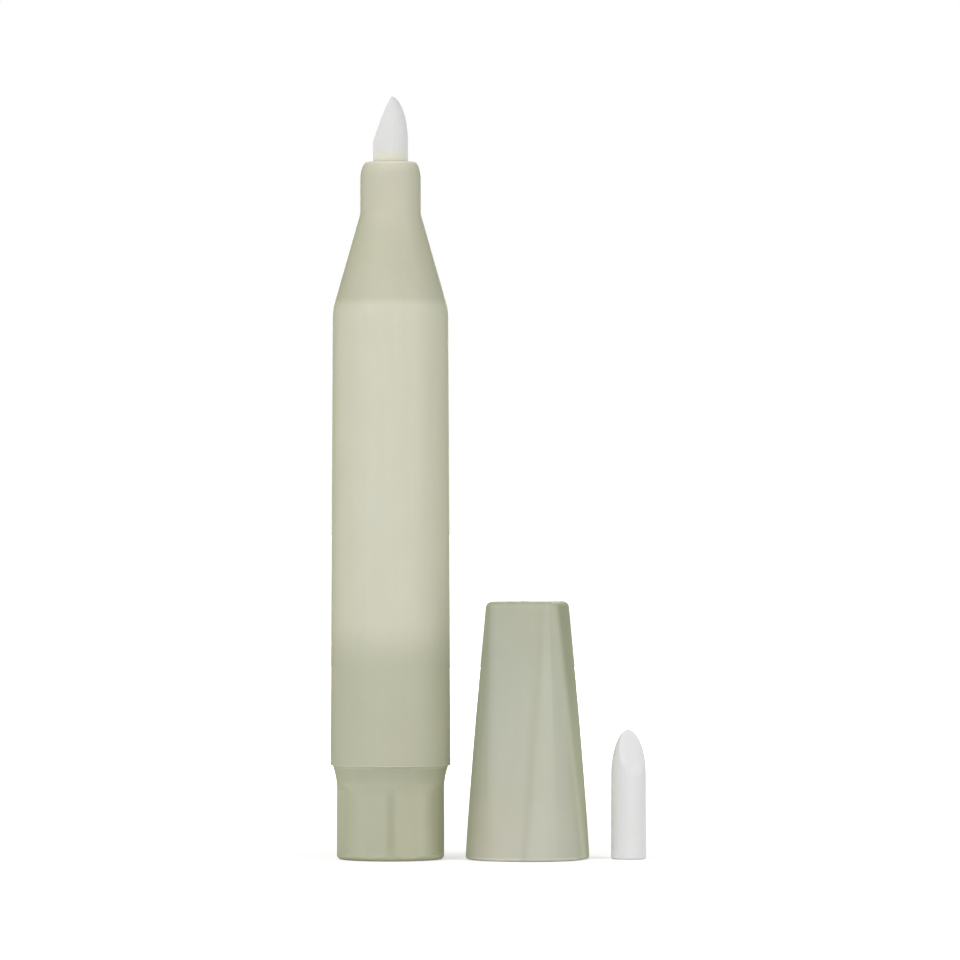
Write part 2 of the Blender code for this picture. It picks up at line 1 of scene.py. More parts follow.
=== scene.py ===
import bpy
import json
import numpy as np
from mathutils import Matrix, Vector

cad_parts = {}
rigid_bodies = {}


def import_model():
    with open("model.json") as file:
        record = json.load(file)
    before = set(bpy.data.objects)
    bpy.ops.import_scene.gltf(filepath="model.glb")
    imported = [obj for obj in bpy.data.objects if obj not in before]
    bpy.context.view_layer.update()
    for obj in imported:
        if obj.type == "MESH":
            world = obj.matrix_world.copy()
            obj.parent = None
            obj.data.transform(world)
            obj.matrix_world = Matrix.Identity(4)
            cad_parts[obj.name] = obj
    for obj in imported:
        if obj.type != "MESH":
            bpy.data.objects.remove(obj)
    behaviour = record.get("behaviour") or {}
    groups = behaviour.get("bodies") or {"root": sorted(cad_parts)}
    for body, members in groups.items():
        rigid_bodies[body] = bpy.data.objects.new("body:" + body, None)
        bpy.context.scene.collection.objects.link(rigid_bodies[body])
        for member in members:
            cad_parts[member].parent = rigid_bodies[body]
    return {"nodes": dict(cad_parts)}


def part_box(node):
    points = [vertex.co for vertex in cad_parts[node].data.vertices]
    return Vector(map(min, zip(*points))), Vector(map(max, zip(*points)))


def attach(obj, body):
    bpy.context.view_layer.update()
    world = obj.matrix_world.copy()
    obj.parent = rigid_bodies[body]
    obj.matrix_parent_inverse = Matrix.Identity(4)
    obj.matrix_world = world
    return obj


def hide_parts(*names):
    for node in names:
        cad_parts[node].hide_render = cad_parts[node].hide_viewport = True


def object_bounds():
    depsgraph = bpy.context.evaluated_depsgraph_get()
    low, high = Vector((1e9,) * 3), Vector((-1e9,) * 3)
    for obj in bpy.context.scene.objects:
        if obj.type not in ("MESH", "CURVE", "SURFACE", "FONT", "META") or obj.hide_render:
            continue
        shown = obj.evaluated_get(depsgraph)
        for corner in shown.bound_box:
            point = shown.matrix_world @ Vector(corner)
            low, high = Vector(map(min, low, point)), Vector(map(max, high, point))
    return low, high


for startupObject in list(bpy.data.objects):
    bpy.data.objects.remove(startupObject)

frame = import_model()
cadLow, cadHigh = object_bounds()
print("frame loaded:", len(frame["nodes"]), "nodes")

# lengths are metres, angles are degrees from the front (-Y) towards +X, colours are sRGB 0 to 255
mm = 0.001
farAway = 1.0  # past every end of the object, for a zone that is open there
white = (1, 1, 1, 1)
fitGaps = {"seat": 0.3 * mm, "slide": 0.2 * mm}
fineness = {  # points round a piece, and points along each kind of arc and run
    "bodyColumns": 288, "innerColumns": 144, "nibColumns": 192,
    "arcSteps": 8, "runSteps": 10, "smallArcSteps": 6, "roundSteps": 12, "smallRoundSteps": 6,
    "barrelArcSteps": 12, "barrelRunSteps": 14, "boreRunSteps": 12, "neckTipSteps": 20,
    "nibRunSteps": 24, "domeSteps": 72, "tailSideSteps": 110,
    "capInsideSteps": 50, "capOutsideSteps": 80, "plateauSteps": 10, "floorSteps": 96,
}


# paths and skins

def unit(vectors):
    return vectors / np.linalg.norm(vectors, axis=1, keepdims=True)


def filletPath(corners, fillets, closed=False, arcSteps=None, runSteps=None):
    # straight runs whose corners are arcs that touch both runs:
    # centre = corner + bisector x radius / sin(half the angle between the runs)
    arcSteps = arcSteps or fineness["arcSteps"]
    runSteps = runSteps or fineness["runSteps"]
    corners = np.asarray(corners, float)
    bends = corners if closed else corners[1:-1]
    radius = np.broadcast_to(np.asarray(fillets, float), len(bends))[:, None]
    before = np.roll(corners, 1, axis=0) if closed else corners[:-2]
    after = np.roll(corners, -1, axis=0) if closed else corners[2:]
    back, ahead = unit(before - bends), unit(after - bends)
    half = np.arccos(np.clip((back * ahead).sum(1, keepdims=True), -1, 1)) / 2
    centre = bends + unit(back + ahead) * radius / np.sin(half)
    first = bends + back * radius / np.tan(half) - centre
    last = bends + ahead * radius / np.tan(half) - centre
    start = np.arctan2(first[:, 1], first[:, 0])[:, None]
    cross = first[:, 0] * last[:, 1] - first[:, 1] * last[:, 0]
    sweep = np.arctan2(cross, (first * last).sum(1))[:, None]
    angle = start + sweep * np.linspace(0, 1, arcSteps + 1)
    arcs = centre[:, None] + radius[:, None] * np.stack((np.cos(angle), np.sin(angle)), 2)
    # on each run the points crowd towards its ends: share = (1 - cos(pi u)) / 2
    share = (1 - np.cos(np.pi * np.linspace(0, 1, runSteps + 2)[1:-1])) / 2
    if closed:
        runFrom, runTo = arcs[:, -1], np.roll(arcs, -1, axis=0)[:, 0]
    else:
        runFrom = np.vstack((corners[:1], arcs[:, -1]))
        runTo = np.vstack((arcs[:, 0], corners[-1:]))
    runs = runFrom[:, None] + (runTo - runFrom)[:, None] * share[None, :, None]
    if closed:
        return np.concatenate((arcs, runs), 1).reshape(-1, 2)
    body = np.concatenate((arcs, runs[1:]), 1).reshape(-1, 2)
    return np.vstack((corners[:1], runs[0], body, corners[-1:]))


def columnAngles(columns):
    # 2 pi x index / columns
    return np.linspace(0, 2 * np.pi, columns, endpoint=False)


def sweptGrid(radii, heights, columns):
    # point(height, angle) = (radius sin angle, -radius cos angle, height)
    angle = columnAngles(columns)
    radii = np.broadcast_to(radii, (len(heights), columns))
    return np.stack(
        (radii * np.sin(angle), -radii * np.cos(angle), np.broadcast_to(heights[:, None], radii.shape)), 2
    )


def ringStack(heights, inset=0.0, share=1.0):
    # rings as rows: height, inset from the side, share of the way out from the axis
    return np.stack(np.broadcast_arrays(heights, inset, share), 1)


def added(name, data):
    thing = bpy.data.objects.new(name, data)
    bpy.context.scene.collection.objects.link(thing)
    return thing


def skin(name, grid, place, looped=False, marks=None):
    # quads over a grid of rings: the ends either join up or close on a point in their middle;
    # marks are values of each point of the grid, kept as attributes for the materials
    rings, columns, _ = grid.shape
    points = grid.reshape(-1, 3)
    row = np.arange(rings if looped else rings - 1)[:, None]
    column = np.arange(columns)[None, :]
    nextRow, nextColumn = (row + 1) % rings, (column + 1) % columns
    faces = np.stack(
        (row * columns + column, row * columns + nextColumn,
         nextRow * columns + nextColumn, nextRow * columns + column), 2
    ).reshape(-1, 4).tolist()
    if not looped:
        firstPole = len(points)
        points = np.vstack((points, grid[0].mean(0), grid[-1].mean(0)))
        column, nextColumn = column[0], nextColumn[0]
        top = (rings - 1) * columns
        faces += np.stack((np.full(columns, firstPole), nextColumn, column), 1).tolist()
        faces += np.stack((top + column, top + nextColumn, np.full(columns, firstPole + 1)), 1).tolist()
    mesh = bpy.data.meshes.new(name)
    mesh.from_pydata(points + np.asarray(place), [], faces)
    mesh.shade_smooth()
    mesh.update()
    for mark, values in (marks or {}).items():
        values = np.broadcast_to(values, (rings, columns)).ravel()
        values = np.pad(values, (0, len(points) - len(values)), mode="edge")  # both poles too
        layer = mesh.attributes.new(mark, "FLOAT", "POINT")
        layer.data.foreach_set("value", values.astype("f"))
    return added(name, mesh)


def softMin(a, b, rounding):
    # the smaller of two values, blended over a band: mix - rounding x share x (1 - share)
    share = np.clip(0.5 + 0.5 * (b - a) / rounding, 0, 1)
    return b + (a - b) * share - rounding * share * (1 - share)


def flatPlaces(angle, radius, flat, size):
    # pitch: from one flat to the next; offset: the angle from the middle of the nearest flat;
    # reach: half the angle that a flat takes up, arccos(flat / radius)
    pitch = 2 * np.pi / size["flats"]
    offset = np.mod(angle - np.radians(size["flatTurn"]) + pitch / 2, pitch) - pitch / 2
    return pitch, offset, np.arccos(np.clip(flat / radius, -1, 1))


def everySecond(angle, size):
    # 0 at the middle of one flat to 1 at the next: (1 - cos(flats / 2 x angle)) / 2
    return (1 - np.cos(size["flats"] / 2 * (angle - np.radians(size["flatTurn"])))) / 2


def bell(distance, width):
    # e^-(distance / width)^2
    return np.exp(-(distance / width)**2)


def flattedRadius(angle, radius, flat, size):
    # a circle cut by planes: radius = softMin(circle, plane distance / cos(angle to the plane))
    offset = flatPlaces(angle, radius, flat, size)[1]
    return softMin(radius, flat / np.cos(offset), size["creaseRounding"])


def axisOf(node):
    # the middle of a node's box, on its lower face
    low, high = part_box(node)
    return np.array(((low.x + high.x) / 2, (low.y + high.y) / 2, low.z))


def sizeOf(node):
    low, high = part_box(node)
    return np.array(high - low)


def dress(piece, body, node, material):
    piece.data.materials.append(material)
    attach(piece, body)
    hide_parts(node)


def turnedPiece(name, path, body, node, material, looped=False):
    # a profile (radius, height) turned about its node's upright axis; an open one closes on that axis
    path = path if looped else path[1:-1]
    grid = sweptGrid(path[:, :1], path[:, 1], fineness["innerColumns"])
    dress(skin(name, grid, axisOf(node), looped), body, node, material)


# materials

def tone(red, green, blue):
    # sRGB to linear: ((value + 0.055) / 1.055) ^ 2.4, or value / 12.92 where it is nearly black
    value = np.array((red, green, blue)) / 255
    linear = np.where(value <= 0.04045, value / 12.92, ((value + 0.055) / 1.055) ** 2.4)
    return (*linear.tolist(), 1)


def newGroup(name, inputs, outputs):
    # inputs that are floats are numbers, and all others are colours
    group = bpy.data.node_groups.new(name, "ShaderNodeTree")
    for label, value in inputs.items():
        kind = "NodeSocketFloat" if isinstance(value, float) else "NodeSocketColor"
        group.interface.new_socket(label, in_out="INPUT", socket_type=kind).default_value = value
    for label in outputs:
        kind = "NodeSocketColor" if label == "Color" else "NodeSocketFloat"
        group.interface.new_socket(label, in_out="OUTPUT", socket_type=kind)
    return group, group.nodes.new("NodeGroupInput"), group.nodes.new("NodeGroupOutput")


def feed(tree, socket, value):
    # a plain value is set on the socket, and another node's output is linked to it
    if isinstance(value, (int, float, tuple)):
        socket.default_value = value
    else:
        tree.links.new(value, socket)


def mathNode(tree, operation, first, second):
    node = tree.nodes.new("ShaderNodeMath")
    node.operation = operation
    feed(tree, node.inputs[0], first)
    feed(tree, node.inputs[1], second)
    return node.outputs[0]


def mixColor(tree, factor, first, second, blend="MIX"):
    node = tree.nodes.new("ShaderNodeMix")
    node.data_type = "RGBA"
    node.blend_type = blend
    for index, value in ((0, factor), (6, first), (7, second)):
        feed(tree, node.inputs[index], value)
    return node.outputs[2]


def noiseNode(tree, vector, scale, detail, roughness=0.5):
    node = tree.nodes.new("ShaderNodeTexNoise")
    node.inputs["Detail"].default_value = detail
    node.inputs["Roughness"].default_value = roughness
    tree.links.new(vector, node.inputs["Vector"])
    feed(tree, node.inputs["Scale"], scale)
    return node.outputs["Fac"]


def objectPlace(tree):
    return tree.nodes.new("ShaderNodeTexCoord").outputs["Object"]


def stretched(tree, vector, upright):
    # coordinates that run slower up the piece, so that a noise is drawn out along it
    node = tree.nodes.new("ShaderNodeMapping")
    node.inputs["Scale"].default_value = (1, 1, upright)
    tree.links.new(vector, node.inputs["Vector"])
    return node.outputs["Vector"]


def swing(tree, noise, share):
    # (noise - 1/2) x share
    return mathNode(tree, "MULTIPLY", mathNode(tree, "SUBTRACT", noise, 0.5), share)


def blended(tree, first, second, share):
    # first x share + second x (1 - share)
    firstPart = mathNode(tree, "MULTIPLY", first, share)
    return mathNode(tree, "ADD", firstPart, mathNode(tree, "MULTIPLY", second, 1 - share))


def scaledColor(tree, color, shade):
    node = tree.nodes.new("ShaderNodeVectorMath")
    node.operation = "SCALE"
    tree.links.new(color, node.inputs[0])
    tree.links.new(shade, node.inputs["Scale"])
    return node.outputs[0]


def softRamp(tree, value, ends, results):
    # smoothstep, 3 u^2 - 2 u^3, from the one end to the other, between two results
    node = tree.nodes.new("ShaderNodeMapRange")
    node.interpolation_type = "SMOOTHSTEP"
    labels = ("Value", "From Min", "From Max", "To Min", "To Max")
    for label, part in zip(labels, (value, *ends, *results)):
        feed(tree, node.inputs[label], part)
    return node.outputs["Result"]


def heightBandGroup():
    # a mask that rises softly at one height and falls at another:
    # smoothstep(from - blur / 2, from + blur / 2) x (1 - smoothstep(to - blur / 2, to + blur / 2))
    group, given, out = newGroup(
        "heightBand", {"From": 0.0, "To": 1.0, "Lower Blur": mm, "Upper Blur": mm}, ["Mask"],
    )
    split = group.nodes.new("ShaderNodeSeparateXYZ")
    group.links.new(objectPlace(group), split.inputs[0])
    edges = []
    for edge, blur, results in (("From", "Lower Blur", (0, 1)), ("To", "Upper Blur", (1, 0))):
        half = mathNode(group, "MULTIPLY", given.outputs[blur], 0.5)
        start = mathNode(group, "SUBTRACT", given.outputs[edge], half)
        end = mathNode(group, "ADD", given.outputs[edge], half)
        edges.append(softRamp(group, split.outputs["Z"], (start, end), results))
    group.links.new(mathNode(group, "MULTIPLY", *edges), out.inputs["Mask"])
    return group


mouldingNoise = {
    "detail": 2, "cloudDetail": 3,
    "flowScale": 900, "flowStretch": 0.06, "flowHeight": 0.6,
    "rubScale": 420, "rubStretch": 0.35, "rubDetail": 4, "rubRoughness": 0.6,
    "driftScale": 85, "driftStretch": 0.6, "driftStart": 0.35, "driftGain": 3.0,
}


def frostedMouldingGroup():
    # frosted plastic: slow clouds, warm and cool drifts and upright flow lines in its colour, rubbed
    # patches in its roughness, and a fine matt grain
    noise = mouldingNoise
    group, given, out = newGroup(
        "frostedMoulding",
        {"Color": white, "Cloud": 0.05, "Cloud Scale": 120.0, "Flow": 0.03, "Grain Scale": 5200.0,
         "Roughness": 0.4, "Wear": 0.1, "Warm Tint": white, "Cool Tint": white},
        ["Color", "Roughness", "Height"],
    )
    place, detail = objectPlace(group), noise["detail"]
    cloud = noiseNode(group, place, given.outputs["Cloud Scale"], noise["cloudDetail"])
    flow = noiseNode(group, stretched(group, place, noise["flowStretch"]), noise["flowScale"], detail)
    grain = noiseNode(group, place, given.outputs["Grain Scale"], detail)
    rubPlace = stretched(group, place, noise["rubStretch"])
    rub = noiseNode(group, rubPlace, noise["rubScale"], noise["rubDetail"], noise["rubRoughness"])
    clouded = swing(group, cloud, given.outputs["Cloud"])
    lined = swing(group, flow, given.outputs["Flow"])
    shade = mathNode(group, "ADD", 1, mathNode(group, "ADD", clouded, lined))
    drift = noiseNode(group, stretched(group, place, noise["driftStretch"]), noise["driftScale"], detail)
    warmth = mathNode(group, "SUBTRACT", drift, noise["driftStart"])
    warmth = mathNode(group, "MULTIPLY", warmth, noise["driftGain"])
    tint = mixColor(group, warmth, given.outputs["Cool Tint"], given.outputs["Warm Tint"])
    tinted = mixColor(group, 1.0, given.outputs["Color"], tint, "MULTIPLY")
    group.links.new(scaledColor(group, tinted, shade), out.inputs["Color"])
    rubbed = swing(group, rub, given.outputs["Wear"])
    group.links.new(mathNode(group, "ADD", given.outputs["Roughness"], rubbed), out.inputs["Roughness"])
    height = mathNode(group, "ADD", grain, mathNode(group, "MULTIPLY", flow, noise["flowHeight"]))
    group.links.new(height, out.inputs["Height"])
    return group


feltNoise = {
    "detail": 2, "fibreDetail": 3,
    "fibreStretch": 0.22, "fibreRoughness": 0.6, "fibreShare": 0.6,
    "mottleScale": 500, "layShare": 0.7,
}


def pressedFeltGroup():
    # pressed felt: short fibres that lie mostly along the nib, some across it, and a soft mottle
    noise = feltNoise
    group, given, out = newGroup(
        "pressedFelt", {"Color": white, "Fibre Scale": 2600.0, "Contrast": 0.1}, ["Color", "Height"],
    )
    place, scale, roughness = objectPlace(group), given.outputs["Fibre Scale"], noise["fibreRoughness"]
    along = stretched(group, place, noise["fibreStretch"])
    fibres = noiseNode(group, along, scale, noise["fibreDetail"], roughness)
    crossing = noiseNode(group, place, scale, noise["detail"], roughness)
    mottle = noiseNode(group, place, noise["mottleScale"], noise["detail"])
    lay = blended(group, fibres, crossing, noise["fibreShare"])
    shade = swing(group, blended(group, lay, mottle, noise["layShare"]), given.outputs["Contrast"])
    shaded = scaledColor(group, given.outputs["Color"], mathNode(group, "ADD", 1, shade))
    group.links.new(shaded, out.inputs["Color"])
    group.links.new(lay, out.inputs["Height"])
    return group


def paintedLightAndShadeGroup():
    # painted light and shade over the colour, by a mark that is kept on the mesh
    group, given, out = newGroup(
        "paintedLightAndShade", {"Color": white, "Mark": 0.0, "Tint": white, "Share": 1.0}, ["Color"],
    )
    amount = mathNode(group, "MULTIPLY", given.outputs["Mark"], given.outputs["Share"])
    color = mixColor(group, amount, given.outputs["Color"], given.outputs["Tint"])
    group.links.new(color, out.inputs["Color"])
    return group


heightBand = heightBandGroup()
paintedLightAndShade = paintedLightAndShadeGroup()
frostedMoulding = frostedMouldingGroup()
pressedFelt = pressedFeltGroup()


def placeGroup(tree, group, **values):
    node = tree.nodes.new("ShaderNodeGroup")
    node.node_tree = group
    for label, value in values.items():
        feed(tree, node.inputs[label], value)
    return node


bandEdges = ("From", "To", "Lower Blur", "Upper Blur")


def bandedColor(tree, base, bands):
    # the base colour, with a tint over each height band: (tint, from, to, lower blur, upper blur)
    color = base
    for tint, *edges in bands:
        band = placeGroup(tree, heightBand, **dict(zip(bandEdges, edges)))
        color = mixColor(tree, band.outputs["Mask"], color, tint)
    return color


def bumpTo(tree, shader, height, distance, strength):
    bump = tree.nodes.new("ShaderNodeBump")
    bump.inputs["Strength"].default_value = strength
    bump.inputs["Distance"].default_value = distance
    tree.links.new(height, bump.inputs["Height"])
    tree.links.new(bump.outputs["Normal"], shader.inputs["Normal"])


shaderSockets = {
    "roughness": "Roughness",
    "ior": "IOR",
    "specular": "Specular IOR Level",
    "subsurface": "Subsurface Weight",
    "subsurfaceRadius": "Subsurface Radius",
    "subsurfaceScale": "Subsurface Scale",
    "layer": "Coat Weight",
    "layerRoughness": "Coat Roughness",
    "layerIor": "Coat IOR",
    "layerTint": "Coat Tint",
}


def newMaterial(name, look):
    # a Principled shader, with each value of the look that has a socket in it
    material = bpy.data.materials.new(name)
    material.use_nodes = True
    shader = material.node_tree.nodes["Principled BSDF"]
    for label, socket in shaderSockets.items():
        if label in look:
            shader.inputs[socket].default_value = look[label]
    return material, material.node_tree, shader


def plasticTone(look, name):
    # the tone is seen through the tinted layer: base = tone / layer tint
    return tuple(min(value / tint, 1) for value, tint in zip(tone(*look[name]), look["layerTint"]))


def zoneBands(look, landmarks):
    # the zones of a look (from, to, lower blur, upper blur), whose heights count from their landmarks
    bands = []
    for name, height in landmarks.items():
        start, end, lowerBlur, upperBlur = look["zones"][name]
        bands.append((plasticTone(look, name), height + start, height + end, lowerBlur, upperBlur))
    return bands


def plasticMaterial(name, look, bands=()):
    material, tree, shader = newMaterial(name, look)
    color = bandedColor(tree, plasticTone(look, "color"), bands)
    # the marks paint shade and light over the colour, each at the share the look gives it
    for mark, share in look.get("marks", {}).items():
        attribute = tree.nodes.new("ShaderNodeAttribute")
        attribute.attribute_name = mark
        tint, amount = plasticTone(look, mark), attribute.outputs["Fac"]
        wall = placeGroup(tree, paintedLightAndShade, Color=color, Mark=amount, Tint=tint, Share=share)
        color = wall.outputs["Color"]
    moulding = placeGroup(tree, frostedMoulding, Color=color, **look["moulding"])
    tree.links.new(moulding.outputs["Color"], shader.inputs["Base Color"])
    tree.links.new(moulding.outputs["Roughness"], shader.inputs["Roughness"])
    bumpTo(tree, shader, moulding.outputs["Height"], look["grainDepth"], look["grainStrength"])
    return material


def feltMaterial(name, look, bands=()):
    material, tree, shader = newMaterial(name, look)
    color = bandedColor(tree, tone(*look["color"]), bands)
    felt = placeGroup(tree, pressedFelt, Color=color, **look["felt"])
    tree.links.new(felt.outputs["Color"], shader.inputs["Base Color"])
    bumpTo(tree, shader, felt.outputs["Height"], look["fibreDepth"], look["fibreStrength"])
    return material


polypropylene = {
    "moulding": {
        "Cloud": 0.08, "Cloud Scale": 130.0, "Flow": 0.05, "Grain Scale": 5200.0,
        "Roughness": 0.42, "Wear": 0.12,
        "Warm Tint": (1.015, 1.0, 0.985, 1), "Cool Tint": (0.985, 1.0, 1.01, 1),
    },
    "grainDepth": 0.02 * mm,
    "grainStrength": 0.25,
    "ior": 1.49,
    "specular": 0.15,
    "subsurface": 0.35,
    "subsurfaceRadius": (1.0, 1.0, 0.7),
    "subsurfaceScale": 1.5 * mm,
    "layer": 1.0,
    "layerRoughness": 0.45,
    "layerIor": 1.02,
    "layerTint": (0.865, 0.872, 0.80, 1),
}


# barrel, with its cone, neck and gripping ribs

barrelSize = {
    "shoulderDiameter": 16.7 * mm,
    "shoulderRadius": 8.0 * mm,
    "boreDiameter": 14.6 * mm,
    "rearChamferWidth": 0.06 * mm,
    "rearChamferHeight": 0.08 * mm,
    "edgeFillet": 0.06 * mm,
    "boreFillet": 0.24 * mm,
    "rearFillet": 0.02 * mm,
    "rearJoin": 0.12 * mm,  # how far outside the bore the two paths meet on the rear face
    "coneHeight": 13.9 * mm,
    "coneWall": 0.95 * mm,
    "neckDiameter": 8.75 * mm,
    "neckLength": 7.5 * mm,
    "neckRootRadius": 3.0 * mm,
    "tipRoundingWidth": 1.0 * mm,
    "tipRoundingHeight": 2.7 * mm,
    "neckBoreDiameter": 6.6 * mm,
    "lipHeight": 0.8 * mm,
    "ribs": 6,
    "ribTurn": 90.0,
    "ribWidth": 0.6 * mm,
    "ribRecess": 0.05 * mm,
    "ribFootHeight": 1.2 * mm,
    "ribEdge": 0.02 * mm,
}
barrelLook = {
    **polypropylene,
    "layerTint": (0.865, 0.872, 0.825, 1),
    "color": (184, 184, 163),
    "reservoirZone": (202, 201, 183),
    "coneZone": (189, 188, 168),
    "neckZone": (192, 191, 173),
    # painted light: a lighter, warmer band at the neck's tip, against the shade at its rim
    "tipPaintedLight": (209, 205, 189),
    # painted light on the lip, where the rim meets the nib in shade
    "lipPaintedLight": (235, 231, 215),
    # painted light on the rear chamfer, which faces down into shade
    "rearEdgePaintedLight": (222, 222, 202),
    "zones": {  # from, to, lower blur, upper blur
        "reservoirZone": (0, farAway, 8 * mm, mm),
        "coneZone": (-0.3 * mm, farAway, 1.5 * mm, mm),
        "neckZone": (0, farAway, 5 * mm, mm),
        "tipPaintedLight": (-0.8 * mm, farAway, 2.4 * mm, mm),
        "lipPaintedLight": (-0.25 * mm, farAway, 0.5 * mm, mm),
        "rearEdgePaintedLight": (-farAway, 0.1 * mm, mm, 0.1 * mm),
    },
}


def nibRear():
    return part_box("nib")[0].z


def barrelSpots():
    # heights along the barrel that follow from its box and its sizes; the cone's inside has the slope of
    # its outside, and its wall across is the wall x sqrt(1 + slope^2)
    low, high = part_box("barrel")
    size = barrelSize
    neckRoot = high.z - size["neckLength"]
    shoulder = neckRoot - size["coneHeight"]
    slope = (size["shoulderDiameter"] - size["neckDiameter"]) / 2 / size["coneHeight"]
    wallAcross = size["coneWall"] * np.hypot(1, slope)
    innerStart = shoulder + (size["shoulderDiameter"] / 2 - wallAcross - size["boreDiameter"] / 2) / slope
    innerEnd = innerStart + (size["boreDiameter"] - size["neckBoreDiameter"]) / 2 / slope
    footTop = nibRear() - fitGaps["seat"]
    return {"rear": low.z, "front": high.z, "neckRoot": neckRoot, "shoulder": shoulder,
            "innerStart": innerStart, "innerEnd": innerEnd,
            "footTop": footTop, "footRear": footTop - size["ribFootHeight"]}


def barrelOuterPath():
    size, spots = barrelSize, barrelSpots()
    rearRadius = sizeOf("barrel")[0] / 2
    neck, shoulder = size["neckDiameter"] / 2, size["shoulderDiameter"] / 2
    side = filletPath(
        [(size["boreDiameter"] / 2 + size["rearJoin"], spots["rear"]),
         (rearRadius - size["rearChamferWidth"], spots["rear"]),
         (rearRadius, spots["rear"] + size["rearChamferHeight"]), (shoulder, spots["shoulder"]),
         (neck, spots["neckRoot"]), (neck, spots["front"] - size["tipRoundingHeight"])],
        [size["rearFillet"], size["edgeFillet"], size["shoulderRadius"], size["neckRootRadius"]],
        arcSteps=fineness["barrelArcSteps"], runSteps=fineness["barrelRunSteps"],
    )
    # the neck's tip is a quarter of an ellipse:
    # radius = neck - width x (1 - cos t), height = front - depth x (1 - sin t)
    t = np.linspace(0, np.pi / 2, fineness["neckTipSteps"])[1:]
    tip = np.stack(
        (neck - size["tipRoundingWidth"] * (1 - np.cos(t)),
         spots["front"] - size["tipRoundingHeight"] * (1 - np.sin(t))), 1
    )
    return np.vstack((side, tip))


def barrelInnerPath():
    # from the lip's rim down the neck bore and the cone to the rear face
    size, spots = barrelSize, barrelSpots()
    bore, neckBore = size["boreDiameter"] / 2, size["neckBoreDiameter"] / 2
    hole = sizeOf("nib")[0] / 2 + fitGaps["slide"]
    lip = spots["front"] - size["lipHeight"]
    return filletPath(
        [(neckBore, spots["front"]), (hole, spots["front"]), (hole, lip),
         (neckBore, lip - (neckBore - hole)), (neckBore, spots["innerEnd"]), (bore, spots["innerStart"]),
         (bore, spots["rear"]), (bore + size["rearJoin"], spots["rear"])],
        3 * [size["edgeFillet"]] + 2 * [size["boreFillet"]] + [size["edgeFillet"]],
        arcSteps=fineness["smallArcSteps"], runSteps=fineness["boreRunSteps"],
    )[1:-1]


def withRingsAt(path, heights):
    # the path with more points at the given heights, highest first, on its way down the neck bore
    index = len(path) - np.searchsorted(path[::-1, 1], heights)
    share = (heights - path[index - 1, 1]) / (path[index, 1] - path[index - 1, 1])
    extra = path[index - 1] + (path[index] - path[index - 1]) * share[:, None]
    return np.insert(path, index, extra, axis=0)


def ribbedRadii(path, columns):
    # ribs stand in from the bore: radius = min(bore, rib) within half a rib's width of its angle
    size, spots = barrelSize, barrelSpots()
    grip = sizeOf("nib")[0] / 2 + fitGaps["slide"] + size["ribRecess"]
    foot = sizeOf("transfer_wick")[0] / 2 + fitGaps["seat"]
    ribFront = spots["front"] - size["lipHeight"] / 2
    radius, height = path[:, :1], path[:, 1:]
    rib = np.where(height > spots["footTop"], grip, foot)
    pitch = 2 * np.pi / size["ribs"]
    angle = columnAngles(columns) - np.radians(size["ribTurn"])
    offset = np.mod(angle + pitch / 2, pitch) - pitch / 2
    alongRib = (height > spots["footRear"]) & (height < ribFront)
    onRib = (np.abs(offset) * rib < size["ribWidth"] / 2) & alongRib
    return np.where(onRib, np.minimum(radius, rib), radius)


def buildBarrel():
    outer, spots = barrelOuterPath(), barrelSpots()
    ends = np.array((spots["footTop"], spots["footRear"]))[:, None]
    inner = withRingsAt(barrelInnerPath(), (ends + np.array((1, -1)) * barrelSize["ribEdge"]).ravel())
    columns = fineness["bodyColumns"]
    radii = np.vstack((np.broadcast_to(outer[:, :1], (len(outer), columns)), ribbedRadii(inner, columns)))
    grid = sweptGrid(radii, np.concatenate((outer[:, 1], inner[:, 1])), columns)
    return skin("barrel_moulding", grid, (0, 0, 0), looped=True)


def barrelMaterial():
    spots = barrelSpots()
    reservoirLow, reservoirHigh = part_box("reservoir_core")
    landmarks = {
        "reservoirZone": reservoirLow.z, "coneZone": reservoirHigh.z, "neckZone": nibRear(),
        "tipPaintedLight": spots["front"], "lipPaintedLight": spots["front"], "rearEdgePaintedLight": spots["rear"],
    }
    return plasticMaterial("frosted_barrel", barrelLook, zoneBands(barrelLook, landmarks))


# felt nibs

nibSize = {
    "domeHeight": 6.6 * mm,
    "pastAxis": 0.15 * mm,
    "bevelBulge": 0.2 * mm,
    "rearFillet": 0.25 * mm,
    "edgeSoftness": 1.5 * mm,
    "softRise": 0.6,
    "leastSoftness": 0.001 * mm,
    "leastFacing": 0.02,
    "turns": {"spare_nib": 114.3, "stored_nib_1": 120.0, "stored_nib_2": 240.0},
}
nibLook = {
    "color": (224, 224, 224),
    "fittedColor": (215, 215, 214),
    "wetRear": (218, 216, 201),
    "wetPastLip": 1.2 * mm,
    "wetBlurs": (mm, 2.4 * mm),
    "felt": {"Fibre Scale": 2600.0, "Contrast": 0.10},
    "fibreDepth": 0.04 * mm,
    "fibreStrength": 0.5,
    "roughness": 0.85,
    "specular": 0.1,
    "subsurface": 0.5,
    "subsurfaceRadius": (1.0, 1.0, 1.0),
    "subsurfaceScale": 0.6 * mm,
}


